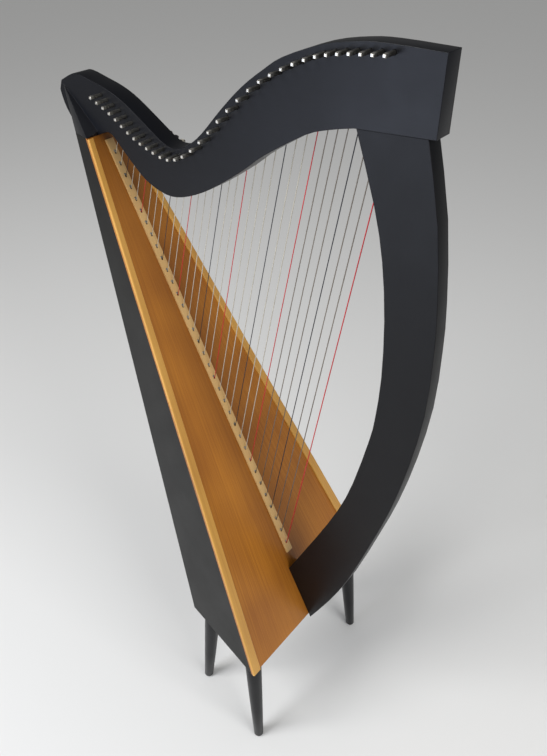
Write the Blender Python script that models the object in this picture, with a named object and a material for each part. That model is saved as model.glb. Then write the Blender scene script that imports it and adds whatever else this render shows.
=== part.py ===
"""Floor harp with thirty-four strings: soundbox on four legs, column, neck, strings and tuning pins."""
import math

import bmesh
import bpy
from mathutils import Matrix, Vector

# Heights and lengths of the frame, in metres. X points to the column, Y to the player's left.
LEG_HEIGHT = 0.2653
BOARD_LENGTH = 1.0985
BOARD_LEAN = math.radians(27.54)
CLEARANCE = 0.0003

# Soundbox
BOX_HALF_BOTTOM = 0.218
BOX_HALF_TOP = 0.045
BOX_SIDE_FLARE = 0.2513
BOX_DEPTH_BOTTOM = 0.2137
BOX_DEPTH_TOP = 0.0427
SIDE_WALL = 0.008
BACK_WALL = 0.006
BOTTOM_WALL = 0.018
TOP_BLOCK_HEIGHT = 0.045
BOARD_THICKNESS = 0.004
FOOT_BLOCK_LENGTH = 0.096
FOOT_BLOCK_WIDTH = 0.09
FOOT_BLOCK_SPACE = 0.004
FOOT_BLOCK_DEPTH = 0.03
SOUND_HOLES = ((0.20, 0.062, 0.040), (0.40, 0.056, 0.034), (0.60, 0.048, 0.027), (0.78, 0.040, 0.020))

# Strips on the soundboard
BATTEN_WIDTH = 0.022
BATTEN_TOP_WIDTH = 0.0125
BATTEN_HEIGHT = 0.0045
BATTEN_CHAMFER = 0.0015
RIB_WIDTH = 0.0175
RIB_HEIGHT = 0.0035
RIB_START = 0.158
INNER_RIB_WIDTH = 0.03
INNER_RIB_START = 0.165
INNER_RIB_TOP_MARGIN = 0.0042
RIB_TOP_MARGIN = 0.012
KNOT_ROOM = 0.009
INNER_RIB_HEIGHT = 0.006

# Neck
NECK_THICKNESS = 0.036
NECK_MIDDLE_Y = -0.0047
NECK_TOP_EDGE = ((-0.0761, 0.0867), (-0.0461, 0.1017), (-0.0271, 0.1047), (0.0089, 0.0977), (0.0489, 0.0885),
                 (0.0859, 0.0735), (0.1369, 0.0437), (0.1749, 0.0217), (0.1979, 0.0187), (0.2179, 0.0247),
                 (0.2359, 0.0345), (0.2619, 0.0557), (0.3079, 0.1047), (0.3499, 0.1447), (0.3899, 0.1747),
                 (0.4259, 0.1977), (0.4899, 0.2227), (0.5469, 0.2347), (0.5939, 0.2387), (0.6789, 0.2387))
NECK_LOWER_EDGE = ((0.6775, 0.1305), (0.5509, 0.1217), (0.5109, 0.1117), (0.4679, 0.0957), (0.3919, 0.0487),
                   (0.3509, 0.0167), (0.3059, -0.0153), (0.2589, -0.0443), (0.2099, -0.0653),
                   (0.1699, -0.0703), (0.1239, -0.0563), (0.0849, -0.0263), (0.0449, 0.0107), (0.0269, 0.0117))
NECK_REAR_EDGE = ((-0.0427, 0.0003), (-0.0651, 0.0267), (-0.0771, 0.0477), (-0.0831, 0.0697))
SHOULDER_RISE = 0.084
STRING_RELIEF = 0.006

# Column
COLUMN_THICKNESS = 0.031
COLUMN_MIDDLE_Y = -0.0045
COLUMN_FOOT_INNER = 0.124
COLUMN_FOOT_OUTER = -0.010
COLUMN_HEAD_INNER = 0.5530
COLUMN_HEAD_OUTER = 0.6649
COLUMN_INNER_BOW = ((0.0, 0.0), (0.149, 0.0521), (0.2631, 0.0882), (0.3553, 0.1073), (0.4743, 0.1203),
                    (0.5274, 0.1220), (0.6129, 0.1175), (0.721, 0.1017), (0.8182, 0.0785), (0.8984, 0.0491),
                    (1.0, 0.0))
COLUMN_OUTER_BOW = ((0.0, 0.0), (0.085, 0.0330), (0.179, 0.0612), (0.3114, 0.0868), (0.4077, 0.1022),
                    (0.5139, 0.1101), (0.619, 0.1091), (0.7162, 0.0951), (0.7914, 0.0785), (0.9024, 0.0443),
                    (1.0, 0.0))
COLUMN_STEPS = 2

# Legs, set in from the bottom corners of the soundbox and splayed outwards to the floor
LEG_FOOT_RADIUS = 0.0105
LEG_TOP_RADIUS = 0.018
LEG_SIDES = 16
LEG_FRONT_INSET = 0.032
LEG_REAR_INSET = 0.0327
LEG_FRONT_SIDE_INSET = 0.030
LEG_REAR_SIDE_INSET = 0.035
LEG_FRONT_SPLAY = (0.023, 0.012)
LEG_REAR_SPLAY = (-0.022, 0.0095)
STUD_RADIUS = 0.004
STUD_INTO_LEG = 0.03
STUD_INTO_BOX = 0.012

# Strings, counted from the bass
STRING_COUNT = 34
HOLE_FIRST = 0.1792
HOLE_TOP_MARGIN = 0.0393
HOLE_CROWDING = 0.137
STRING_BASS_RADIUS = 0.0011
STRING_TREBLE_RADIUS = 0.00055
STRING_HOLE_RADIUS = 0.0018
KNOT_RADIUS = 0.0032
STRING_TIE_WIDTH = 0.003
STRING_TIE_DEPTH = 0.002

# Tuning pins and bridge nuts; the line of pins is counted from the treble, from the soundbox top
PIN_LINE = ((1, 0.0269, 0.0777), (4, 0.0709, 0.0587), (8, 0.1269, 0.0267), (11, 0.1709, 0.0117),
            (13, 0.2039, 0.0067), (15, 0.2389, 0.0197), (17, 0.2789, 0.0517), (20, 0.3399, 0.1127),
            (23, 0.4019, 0.1647), (27, 0.4799, 0.2057), (30, 0.5329, 0.2207), (34, 0.6039, 0.2287))
PIN_RADIUS = 0.0036
PIN_NEAR_ROUND = 0.012
PIN_NEAR_SQUARE = 0.013
PIN_SQUARE_SIDE = 0.0056
PIN_FAR_LENGTH = 0.0175
BRIDGE_RADIUS = 0.0022
BRIDGE_DROP = 0.030
STRING_OFF_NECK = 0.014

# Fasteners inside the frame
BOLT_RADIUS = 0.004
BOLT_HEAD_RADIUS = 0.007
BOLT_HEAD_HEIGHT = 0.005
BOLT_PLACES = (0.060, 0.100)
BOLT_INTO_COLUMN = 0.03
DOWEL_RADIUS = 0.005
DOWEL_HALF_LENGTH = 0.022

HOLE_LAST = BOARD_LENGTH - HOLE_TOP_MARGIN
BOX_TOP_X = -BOARD_LENGTH * math.sin(BOARD_LEAN)
BOX_TOP_Z = LEG_HEIGHT + BOARD_LENGTH * math.cos(BOARD_LEAN)
BOARD_UP = Vector((-math.sin(BOARD_LEAN), 0, math.cos(BOARD_LEAN)))
BOARD_IN = Vector((-math.cos(BOARD_LEAN), 0, -math.sin(BOARD_LEAN)))
BOARD_FOOT = Vector((0, 0, LEG_HEIGHT))
NECK_NEAR_Y = NECK_MIDDLE_Y - NECK_THICKNESS / 2
NECK_FAR_Y = NECK_MIDDLE_Y + NECK_THICKNESS / 2
STRING_NECK_Y = NECK_FAR_Y + STRING_OFF_NECK
RIB_FACE = -(2 * CLEARANCE + RIB_HEIGHT)
INNER_RIB_BACK = BOARD_THICKNESS + CLEARANCE + INNER_RIB_HEIGHT

for old in list(bpy.data.objects):
    bpy.data.objects.remove(old, do_unlink=True)

parts = bpy.data.collections.new("harp")
cutters = bpy.data.collections.new("cutters")
bpy.context.scene.collection.children.link(parts)
bpy.context.scene.collection.children.link(cutters)


def empty(name, parent=None, location=(0, 0, 0), turn=0.0):
    """An empty in the harp's collection, turned about Y."""
    thing = bpy.data.objects.new(name, None)
    thing.location = location
    thing.rotation_euler = (0, turn, 0)
    thing.parent = parent
    parts.objects.link(thing)
    return thing


root = empty("harp_frame")
board_frame = empty("soundboard_frame", root, BOARD_FOOT, -(math.pi / 2 + BOARD_LEAN))
neck_frame = empty("neck_frame", root, (BOX_TOP_X, 0, BOX_TOP_Z))


def material(name, color, roughness, metallic=0.0):
    """A plain Principled material."""
    made = bpy.data.materials.new(name)
    made.use_nodes = True
    shader = made.node_tree.nodes["Principled BSDF"]
    shader.inputs["Base Color"].default_value = (*color, 1)
    shader.inputs["Roughness"].default_value = roughness
    shader.inputs["Metallic"].default_value = metallic
    return made


BLACK_LACQUER = material("black_lacquer", (0.012, 0.013, 0.016), 0.35)
CEDAR = material("cedar", (0.42, 0.17, 0.035), 0.45)
MAPLE = material("maple", (0.60, 0.36, 0.12), 0.4)
BARE_WOOD = material("bare_wood", (0.45, 0.30, 0.16), 0.6)
NICKEL = material("nickel", (0.55, 0.53, 0.48), 0.3, 1.0)
STEEL = material("steel", (0.45, 0.45, 0.46), 0.35, 1.0)


NATURAL_GUT = material("natural_gut", (0.70, 0.65, 0.52), 0.35)


def add_object(name, bm, finish, parent=root, location=(0, 0, 0)):
    """Turn a bmesh into a named part, with its faces pointing out."""
    bmesh.ops.recalc_face_normals(bm, faces=bm.faces[:])
    mesh = bpy.data.meshes.new(name)
    bm.to_mesh(mesh)
    bm.free()
    mesh.materials.append(finish)
    mesh.shade_smooth()
    mesh.set_sharp_from_angle(angle=math.radians(35))
    thing = bpy.data.objects.new(name, mesh)
    thing.location = location
    thing.parent = parent
    parts.objects.link(thing)
    return thing


def loft_rings(bm, rings):
    """Join rings of points into one closed body with flat ends."""
    made = [[bm.verts.new(point) for point in ring] for ring in rings]
    count = len(made[0])
    for lower, upper in zip(made, made[1:]):
        for i in range(count):
            j = (i + 1) % count
            bm.faces.new((lower[i], lower[j], upper[j], upper[i]))
    bm.faces.new(made[0][::-1])
    bm.faces.new(made[-1])


def circle(centre, radius, sides, axis):
    """Points of a regular polygon around an axis named X, Y or Z."""
    points = []
    for i in range(sides):
        angle = 2 * math.pi * (i + 0.5) / sides
        a = radius * math.cos(angle)
        b = radius * math.sin(angle)
        offset = {"X": (0, a, b), "Y": (a, 0, b), "Z": (a, b, 0)}[axis]
        points.append(tuple(c + o for c, o in zip(centre, offset)))
    return points


def add_cutter(target, bm, parent=root):
    """Cut every body of a bmesh out of a part."""
    bmesh.ops.recalc_face_normals(bm, faces=bm.faces[:])
    mesh = bpy.data.meshes.new(target.name + "_cutter")
    bm.to_mesh(mesh)
    bm.free()
    tool = bpy.data.objects.new(mesh.name, mesh)
    tool.parent = parent
    tool.hide_render = True
    tool.display_type = "WIRE"
    cutters.objects.link(tool)
    cut = target.modifiers.new("cut", "BOOLEAN")
    cut.operation = "DIFFERENCE"
    cut.object = tool


def smooth_path(points, steps):
    """A smooth run through the points, with its ends kept."""
    padded = [points[0]] + list(points) + [points[-1]]
    path = []
    for p0, p1, p2, p3 in zip(padded, padded[1:], padded[2:], padded[3:]):
        for i in range(steps):
            t = i / steps
            point = []
            for a, b, c, d in zip(p0, p1, p2, p3):
                square = 2 * a - 5 * b + 4 * c - d
                cube = 3 * b - a - 3 * c + d
                point.append(0.5 * (2 * b + (c - a) * t + square * t ** 2 + cube * t ** 3))
            path.append(tuple(point))
    path.append(tuple(points[-1]))
    return path


def front_x(z, inward=0.0):
    """Where the soundboard's face, or a plane parallel to it, lies at a height."""
    return -(z - LEG_HEIGHT) * math.tan(BOARD_LEAN) - inward / math.cos(BOARD_LEAN)


def rear_x(z, inward=0.0):
    """Where the back of the soundbox lies at a height."""
    share = (z - LEG_HEIGHT) / (BOX_TOP_Z - LEG_HEIGHT)
    bottom = -BOX_DEPTH_BOTTOM
    top = BOX_TOP_X - BOX_DEPTH_TOP
    return bottom + (top - bottom) * share + inward


def half_width(x, z):
    """Half the soundbox's outer width at a place on its side plane."""
    share = (z - LEG_HEIGHT) / (BOX_TOP_Z - LEG_HEIGHT)
    fall = BOX_HALF_TOP - BOX_HALF_BOTTOM - BOX_SIDE_FLARE * BOX_TOP_X
    return BOX_HALF_BOTTOM + BOX_SIDE_FLARE * x + fall * share


def box_section(z, front, rear, side):
    """A level slice of the soundbox, set in from its front, rear and sides."""
    x_front = front_x(z, front)
    x_rear = rear_x(z, rear)
    y_front = half_width(x_front, z) - side
    y_rear = half_width(x_rear, z) - side
    return [(x_front, -y_front, z), (x_front, y_front, z), (x_rear, y_rear, z), (x_rear, -y_rear, z)]


def make_side(name, direction):
    """One flat side of the soundbox, behind the soundboard's edge."""
    rings = []
    for z in (LEG_HEIGHT, BOX_TOP_Z):
        x_front = front_x(z, BOARD_THICKNESS + CLEARANCE)
        x_rear = rear_x(z)
        rings.append([(x_front, direction * half_width(x_front, z), z),
                      (x_front, direction * (half_width(x_front, z) - SIDE_WALL), z),
                      (x_rear, direction * (half_width(x_rear, z) - SIDE_WALL), z),
                      (x_rear, direction * half_width(x_rear, z), z)])
    bm = bmesh.new()
    loft_rings(bm, rings)
    return add_object(name, bm, BLACK_LACQUER)


def make_back():
    """The flat back between the sides, with oval sound holes that a hand fits through."""
    rings = []
    for z in (LEG_HEIGHT, BOX_TOP_Z):
        inner = rear_x(z, BACK_WALL)
        outer = rear_x(z)
        y_inner = half_width(inner, z) - SIDE_WALL - CLEARANCE
        y_outer = half_width(outer, z) - SIDE_WALL - CLEARANCE
        rings.append([(inner, -y_inner, z), (inner, y_inner, z), (outer, y_outer, z), (outer, -y_outer, z)])
    bm = bmesh.new()
    loft_rings(bm, rings)
    back = add_object("soundbox_back", bm, BLACK_LACQUER)
    holes = bmesh.new()
    for share, tall, wide in SOUND_HOLES:
        z = LEG_HEIGHT + share * (BOX_TOP_Z - LEG_HEIGHT)
        x = rear_x(z)
        rings = []
        for shift in (-0.03, 0.03):
            turns = [2 * math.pi * i / 20 for i in range(20)]
            rings.append([(x + shift, wide * math.cos(a), z + tall * math.sin(a)) for a in turns])
        loft_rings(holes, rings)
    add_cutter(back, holes)
    return back


def make_block(name, low, high, finish):
    """A block that fills the soundbox between two heights."""
    bm = bmesh.new()
    rings = [box_section(z, BOARD_THICKNESS + CLEARANCE, BACK_WALL + CLEARANCE, SIDE_WALL + CLEARANCE)
             for z in (low, high)]
    loft_rings(bm, rings)
    return add_object(name, bm, finish)


def board_box(bm, s0, s1, y0, y1, n0, n1):
    """A box in the soundboard's own frame: up the board, across it, and inwards."""
    rings = [[(s0, y0, n), (s1, y0, n), (s1, y1, n), (s0, y1, n)] for n in (n0, n1)]
    loft_rings(bm, rings)


def hole_place(number):
    """Distance up the board of a string's hole; the holes close up towards the treble."""
    share = (number - 1) / (STRING_COUNT - 1)
    even = HOLE_FIRST + (HOLE_LAST - HOLE_FIRST) * share
    return even + HOLE_CROWDING * share * (1 - share)


def string_holes():
    """Cutter for the strings through the board and its ribs."""
    bm = bmesh.new()
    for number in range(1, STRING_COUNT + 1):
        s = hole_place(number)
        loft_rings(bm, [circle((s, 0, n), STRING_HOLE_RADIUS, 6, "Z") for n in (-0.02, 0.03)])
    return bm


def bolt_holes(radius):
    """Cutter for the column's bolts."""
    bm = bmesh.new()
    for s in BOLT_PLACES:
        loft_rings(bm, [circle((s, COLUMN_MIDDLE_Y, n), radius, 8, "Z")
                        for n in (-BOLT_INTO_COLUMN - CLEARANCE, FOOT_BLOCK_DEPTH + 0.03)])
    return bm


def board_half_width(s):
    """Half the soundboard's width at a distance up the board."""
    point = BOARD_FOOT + BOARD_UP * s
    return half_width(point.x, point.z)


def make_soundboard():
    """The thin tapering soundboard, cut level at both ends."""
    bm = bmesh.new()
    rings = []
    for z in (LEG_HEIGHT, BOX_TOP_Z):
        x0 = front_x(z)
        x1 = front_x(z, BOARD_THICKNESS)
        y0 = half_width(x0, z)
        y1 = half_width(x1, z)
        rings.append([(x0, -y0, z), (x0, y0, z), (x1, y1, z), (x1, -y1, z)])
    loft_rings(bm, rings)
    board = add_object("soundboard", bm, CEDAR)
    add_cutter(board, string_holes(), board_frame)
    add_cutter(board, bolt_holes(BOLT_RADIUS + CLEARANCE), board_frame)
    return board


def make_batten(name, direction):
    """Edge strip over the joint of board and side, with its upper corners eased."""
    rings = []
    for s, width in ((0.0, BATTEN_WIDTH), (BOARD_LENGTH - 0.002, BATTEN_TOP_WIDTH)):
        outer = board_half_width(s)
        profile = ((outer, -CLEARANCE), (outer, BATTEN_CHAMFER - BATTEN_HEIGHT),
                   (outer - BATTEN_CHAMFER, -BATTEN_HEIGHT),
                   (outer - width + BATTEN_CHAMFER, -BATTEN_HEIGHT),
                   (outer - width, BATTEN_CHAMFER - BATTEN_HEIGHT), (outer - width, -CLEARANCE))
        rings.append([(s, direction * y, n) for y, n in profile])
    bm = bmesh.new()
    loft_rings(bm, rings)
    return add_object(name, bm, MAPLE, board_frame)


def make_ribs():
    """The light rib on the face of the board and the stouter one inside, both drilled for the strings."""
    bm = bmesh.new()
    board_box(bm, RIB_START, BOARD_LENGTH - RIB_TOP_MARGIN, -RIB_WIDTH / 2, RIB_WIDTH / 2, RIB_FACE, -CLEARANCE)
    rib = add_object("string_rib", bm, MAPLE, board_frame)
    add_cutter(rib, string_holes(), board_frame)
    bm = bmesh.new()
    low = INNER_RIB_START
    high = BOARD_LENGTH - INNER_RIB_TOP_MARGIN
    board_box(bm, low, high, -INNER_RIB_WIDTH / 2, INNER_RIB_WIDTH / 2,
              BOARD_THICKNESS + CLEARANCE, INNER_RIB_BACK)
    inner = add_object("inner_rib", bm, BARE_WOOD, board_frame)
    add_cutter(inner, string_holes(), board_frame)


def column_edge(foot, head, stations):
    """One bowed edge of the column from its foot to its head."""
    chord = head - foot
    outward = Vector((chord.y, -chord.x)).normalized()
    return [foot + chord * share + outward * bow for share, bow in smooth_path(stations, COLUMN_STEPS)]


def board_xz(s, n=0.0):
    """X and Z of a point on the board's centre line."""
    point = BOARD_FOOT + BOARD_UP * s + BOARD_IN * n
    return Vector((point.x, point.z))


def under_neck(reach):
    """Height of the neck's straight underside over the column, at a distance from the soundbox top."""
    front, rear = NECK_LOWER_EDGE[0], NECK_LOWER_EDGE[1]
    return BOX_TOP_Z + rear[1] + (front[1] - rear[1]) * (reach - rear[0]) / (front[0] - rear[0])


def make_column():
    """The bowed column, standing on the board's lower end and carrying the neck's front end."""
    inner_foot = board_xz(COLUMN_FOOT_INNER, -CLEARANCE)
    outer_foot = board_xz(COLUMN_FOOT_OUTER, -CLEARANCE)
    inner_head = Vector((BOX_TOP_X + COLUMN_HEAD_INNER, under_neck(COLUMN_HEAD_INNER) - 2 * CLEARANCE))
    outer_head = Vector((BOX_TOP_X + COLUMN_HEAD_OUTER, under_neck(COLUMN_HEAD_OUTER) - 2 * CLEARANCE))
    inner = column_edge(inner_foot, inner_head, COLUMN_INNER_BOW)
    outer = column_edge(outer_foot, outer_head, COLUMN_OUTER_BOW)
    bm = bmesh.new()
    rings = []
    for a, b in zip(inner, outer):
        near = COLUMN_MIDDLE_Y - COLUMN_THICKNESS / 2
        far = COLUMN_MIDDLE_Y + COLUMN_THICKNESS / 2
        rings.append([(a.x, near, a.y), (b.x, near, b.y), (b.x, far, b.y), (a.x, far, a.y)])
    loft_rings(bm, rings)
    column = add_object("column", bm, BLACK_LACQUER)
    add_cutter(column, bolt_holes(BOLT_RADIUS + CLEARANCE), board_frame)
    add_cutter(column, dowel_bodies(column_dowels(), DOWEL_RADIUS + CLEARANCE, DOWEL_HALF_LENGTH + CLEARANCE))
    return column


def column_dowels():
    """Centre of the dowel between column and neck."""
    middle = (COLUMN_HEAD_INNER + COLUMN_HEAD_OUTER) / 2
    return [(BOX_TOP_X + middle, COLUMN_MIDDLE_Y, under_neck(middle))]


def shoulder_dowels():
    """Centre of the dowel between soundbox top and neck."""
    x = BOX_TOP_X - BOX_DEPTH_TOP / 2
    return [(x, NECK_MIDDLE_Y, BOX_TOP_Z)]


def dowel_bodies(centres, radius, half_length):
    """Upright round dowels."""
    bm = bmesh.new()
    for x, y, z in centres:
        loft_rings(bm, [circle((x, y, z + shift), radius, 8, "Z") for shift in (-half_length, half_length)])
    return bm


def pin_place(index):
    """X and Z of a tuning pin from the soundbox top, counted from the treble."""
    stations = PIN_LINE
    for k in range(len(stations) - 1):
        if stations[k][0] <= index <= stations[k + 1][0]:
            break
    before = stations[max(k - 1, 0)]
    start = stations[k]
    end = stations[k + 1]
    after = stations[min(k + 2, len(stations) - 1)]
    span = end[0] - start[0]
    t = (index - start[0]) / span
    place = []
    for axis in (1, 2):
        slope_start = (end[axis] - before[axis]) / (end[0] - before[0]) * span
        slope_end = (after[axis] - start[axis]) / (after[0] - start[0]) * span
        h1 = 2 * t ** 3 - 3 * t ** 2 + 1
        h2 = t ** 3 - 2 * t ** 2 + t
        h3 = -2 * t ** 3 + 3 * t ** 2
        h4 = t ** 3 - t ** 2
        place.append(start[axis] * h1 + slope_start * h2 + end[axis] * h3 + slope_end * h4)
    return Vector((BOX_TOP_X + place[0], BOX_TOP_Z + place[1]))


def string_radius(number):
    """Strings get thinner towards the treble."""
    share = (number - 1) / (STRING_COUNT - 1)
    return STRING_BASS_RADIUS + (STRING_TREBLE_RADIUS - STRING_BASS_RADIUS) * share ** 0.6


def string_line(number):
    """Hole, tuning pin, bridge pin and the directions along and across a string, in X and Z."""
    hole = board_xz(hole_place(number), RIB_FACE - 0.002)
    pin = pin_place(STRING_COUNT + 1 - number)
    along = (pin - hole).normalized()
    across = Vector((along.y, -along.x))
    beside = BRIDGE_RADIUS + string_radius(number) + CLEARANCE
    bridge = pin - along * BRIDGE_DROP - across * beside
    return hole, pin, bridge, along, across


def make_neck():
    """The harmonic curve with the shoulder that meets the soundbox, drilled for the pins."""
    outline = smooth_path(NECK_TOP_EDGE, 3)
    outline += [NECK_LOWER_EDGE[0]]
    outline += smooth_path(NECK_LOWER_EDGE[1:], 3)
    outline += [(0.0, CLEARANCE)]
    outline += smooth_path(NECK_REAR_EDGE, 2)
    bm = bmesh.new()
    loft_rings(bm, [[(x, y, z) for x, z in outline] for y in (NECK_NEAR_Y, NECK_FAR_Y)])
    neck = add_object("neck", bm, BLACK_LACQUER, neck_frame)

    shoulder = bmesh.new()
    front_half = BOX_HALF_TOP
    rear_half = BOX_HALF_TOP - BOX_SIDE_FLARE * BOX_DEPTH_TOP
    tuck = 0.0006
    corners = [(-BOX_DEPTH_TOP, -rear_half, CLEARANCE), (-BOX_DEPTH_TOP, rear_half, CLEARANCE),
               (0, -front_half, CLEARANCE), (0, front_half, CLEARANCE),
               (0.006, NECK_NEAR_Y + tuck, 0.0105), (0.006, NECK_FAR_Y - tuck, 0.0105),
               (-0.074, NECK_NEAR_Y + tuck, SHOULDER_RISE), (-0.074, NECK_FAR_Y - tuck, SHOULDER_RISE)]
    for corner in corners:
        shoulder.verts.new(corner)
    bmesh.ops.convex_hull(shoulder, input=shoulder.verts[:])
    bmesh.ops.recalc_face_normals(shoulder, faces=shoulder.faces[:])
    mesh = bpy.data.meshes.new("shoulder_block")
    shoulder.to_mesh(mesh)
    shoulder.free()
    block = bpy.data.objects.new("shoulder_block", mesh)
    block.parent = neck_frame
    block.hide_render = True
    block.display_type = "WIRE"
    cutters.objects.link(block)
    join = neck.modifiers.new("shoulder", "BOOLEAN")
    join.operation = "UNION"
    join.object = block

    pins = bmesh.new()
    for index in range(1, STRING_COUNT + 1):
        x, z = pin_place(index)
        loft_rings(pins, [circle((x, y, z), PIN_RADIUS + CLEARANCE, 8, "Y")
                          for y in (NECK_NEAR_Y - 0.01, NECK_FAR_Y + 0.01)])
    add_cutter(neck, pins)
    relief = bmesh.new()
    bmesh.ops.create_cube(relief, size=1.0)
    bmesh.ops.scale(relief, vec=(0.032, STRING_RELIEF, STRING_RELIEF), verts=relief.verts[:])
    bmesh.ops.rotate(relief, matrix=Matrix.Rotation(math.pi / 4, 3, "X"), verts=relief.verts[:])
    bmesh.ops.translate(relief, vec=(BOX_TOP_X + 0.028, NECK_FAR_Y, BOX_TOP_Z + 0.008), verts=relief.verts[:])
    add_cutter(neck, relief)
    add_cutter(neck, dowel_bodies(column_dowels() + shoulder_dowels(), DOWEL_RADIUS + CLEARANCE,
                                  DOWEL_HALF_LENGTH + CLEARANCE))
    return neck


def tuning_pin_mesh():
    """A round steel pin with a square drive on the near side, along Y about its own middle."""
    near_face = -NECK_THICKNESS / 2
    far_face = NECK_THICKNESS / 2
    half_square = PIN_SQUARE_SIDE / 2

    def square(y, half):
        corner = half
        return [(corner, y, 0), (corner, y, corner), (0, y, corner), (-corner, y, corner),
                (-corner, y, 0), (-corner, y, -corner), (0, y, -corner), (corner, y, -corner)]

    def ring(y, radius):
        return [(radius * math.cos(math.pi * i / 4), y, radius * math.sin(math.pi * i / 4)) for i in range(8)]

    bm = bmesh.new()
    loft_rings(bm, [
        ring(far_face + PIN_FAR_LENGTH, PIN_RADIUS * 0.85),
        ring(far_face + PIN_FAR_LENGTH - 0.0015, PIN_RADIUS),
        ring(near_face - PIN_NEAR_ROUND, PIN_RADIUS),
        square(near_face - PIN_NEAR_ROUND - 0.003, half_square * 0.95),
        square(near_face - PIN_NEAR_ROUND - PIN_NEAR_SQUARE + 0.001, half_square * 0.86),
        square(near_face - PIN_NEAR_ROUND - PIN_NEAR_SQUARE, half_square * 0.6),
    ])
    bmesh.ops.recalc_face_normals(bm, faces=bm.faces[:])
    mesh = bpy.data.meshes.new("tuning_pin")
    bm.to_mesh(mesh)
    bm.free()
    mesh.materials.append(NICKEL)
    mesh.shade_smooth()
    mesh.set_sharp_from_angle(angle=math.radians(35))
    return mesh


def make_tuning_pins():
    """Thirty-four pins through the neck; each turns about its own length."""
    mesh = tuning_pin_mesh()
    for index in range(1, STRING_COUNT + 1):
        x, z = pin_place(index)
        pin = bpy.data.objects.new(f"tuning_pin_{index:02d}", mesh)
        pin.location = (x, NECK_MIDDLE_Y, z)
        pin.parent = root
        parts.objects.link(pin)


def string_path(number):
    """Points and relative radii of one string: knot, hole, bridge pin and tuning pin."""
    hole, pin, bridge, along, across = string_line(number)
    radius = string_radius(number)
    knot = KNOT_RADIUS / radius
    s = hole_place(number)
    points = []
    for inward, swell in ((INNER_RIB_BACK + 0.0065, 0.5 * knot), (INNER_RIB_BACK + 0.005, knot),
                          (INNER_RIB_BACK + 0.002, knot), (INNER_RIB_BACK + 0.0008, 1.0)):
        place = board_xz(s, inward)
        points.append(((place.x, 0, place.y), swell))
    points.append(((hole.x, 0, hole.y), 1.0))
    contact = bridge + across * (BRIDGE_RADIUS + radius + CLEARANCE)
    points.append(((contact.x, STRING_NECK_Y, contact.y), 1.0))
    over = contact + along * 0.0015 - across * 0.0003
    points.append(((over.x, STRING_NECK_Y, over.y), 1.0))
    end = pin - across * (PIN_RADIUS + radius + CLEARANCE)
    points.append(((end.x, STRING_NECK_Y, end.y), 1.0))
    return points


def make_strings():
    """All the strings, made one body by a thin tie along their knots inside the soundbox."""
    curve = bpy.data.curves.new("string_route", "CURVE")
    curve.dimensions = "3D"
    curve.bevel_depth = 1.0
    curve.bevel_resolution = 1
    curve.use_fill_caps = True
    for number in range(1, STRING_COUNT + 1):
        radius = string_radius(number)
        path = string_path(number)
        spline = curve.splines.new("POLY")
        spline.points.add(len(path) - 1)
        for point, (place, swell) in zip(spline.points, path):
            point.co = (*place, 1)
            point.radius = radius * swell
    route = bpy.data.objects.new("string_route", curve)
    route.parent = root
    parts.objects.link(route)
    bpy.context.view_layer.update()
    graph = bpy.context.evaluated_depsgraph_get()
    mesh = bpy.data.meshes.new_from_object(route.evaluated_get(graph))
    bm = bmesh.new()
    bm.from_mesh(mesh)
    bmesh.ops.remove_doubles(bm, verts=bm.verts[:], dist=0.00001)
    strings = add_object("strings", bm, NATURAL_GUT)
    bpy.data.objects.remove(route, do_unlink=True)

    tie = bmesh.new()
    half = STRING_TIE_WIDTH / 2
    middle = INNER_RIB_BACK + 0.0035
    board_box(tie, hole_place(1), hole_place(STRING_COUNT), -half, half,
              middle - STRING_TIE_DEPTH / 2, middle + STRING_TIE_DEPTH / 2)
    bmesh.ops.recalc_face_normals(tie, faces=tie.faces[:])
    tie_mesh = bpy.data.meshes.new("string_tie")
    tie.to_mesh(tie_mesh)
    tie.free()
    tie_part = bpy.data.objects.new("string_tie", tie_mesh)
    tie_part.parent = board_frame
    tie_part.hide_render = True
    tie_part.display_type = "WIRE"
    cutters.objects.link(tie_part)
    join = strings.modifiers.new("tie", "BOOLEAN")
    join.operation = "UNION"
    join.object = tie_part


def leg_places():
    """Name, foot place and top place of each leg as seen from above."""
    places = []
    for end, x, inset, splay in (
            ("front", -LEG_FRONT_INSET, LEG_FRONT_SIDE_INSET, LEG_FRONT_SPLAY),
            ("rear", LEG_REAR_INSET - BOX_DEPTH_BOTTOM, LEG_REAR_SIDE_INSET, LEG_REAR_SPLAY)):
        y = half_width(x, LEG_HEIGHT) - inset
        for side, direction in (("right", -1), ("left", 1)):
            foot = (x + splay[0], direction * (y + splay[1]))
            places.append((f"leg_{end}_{side}", foot, (x, direction * y)))
    return places


def make_legs():
    """Four turned, tapering and splayed legs with a stud in the top of each."""
    for name, foot, top in leg_places():
        bm = bmesh.new()
        ease = 0.004
        lean = [(t - f) / (LEG_HEIGHT - CLEARANCE) for f, t in zip(foot, top)]
        rings = []
        for z, radius in ((0.0, LEG_FOOT_RADIUS - 0.003), (ease, LEG_FOOT_RADIUS),
                          (LEG_HEIGHT - CLEARANCE, LEG_TOP_RADIUS)):
            rings.append(circle((foot[0] + lean[0] * z, foot[1] + lean[1] * z, z), radius, LEG_SIDES, "Z"))
        loft_rings(bm, rings)
        leg = add_object(name, bm, BLACK_LACQUER)
        low = LEG_HEIGHT - STUD_INTO_LEG
        high = LEG_HEIGHT + STUD_INTO_BOX
        hole = bmesh.new()
        levels = (low - CLEARANCE, high + STUD_INTO_BOX)
        loft_rings(hole, [circle((*top, z), STUD_RADIUS + CLEARANCE, 8, "Z") for z in levels])
        add_cutter(leg, hole)
        stud = bmesh.new()
        loft_rings(stud, [circle((*top, z), STUD_RADIUS, 8, "Z") for z in (low, high)])
        add_object(name.replace("leg", "stud"), stud, STEEL)


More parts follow.
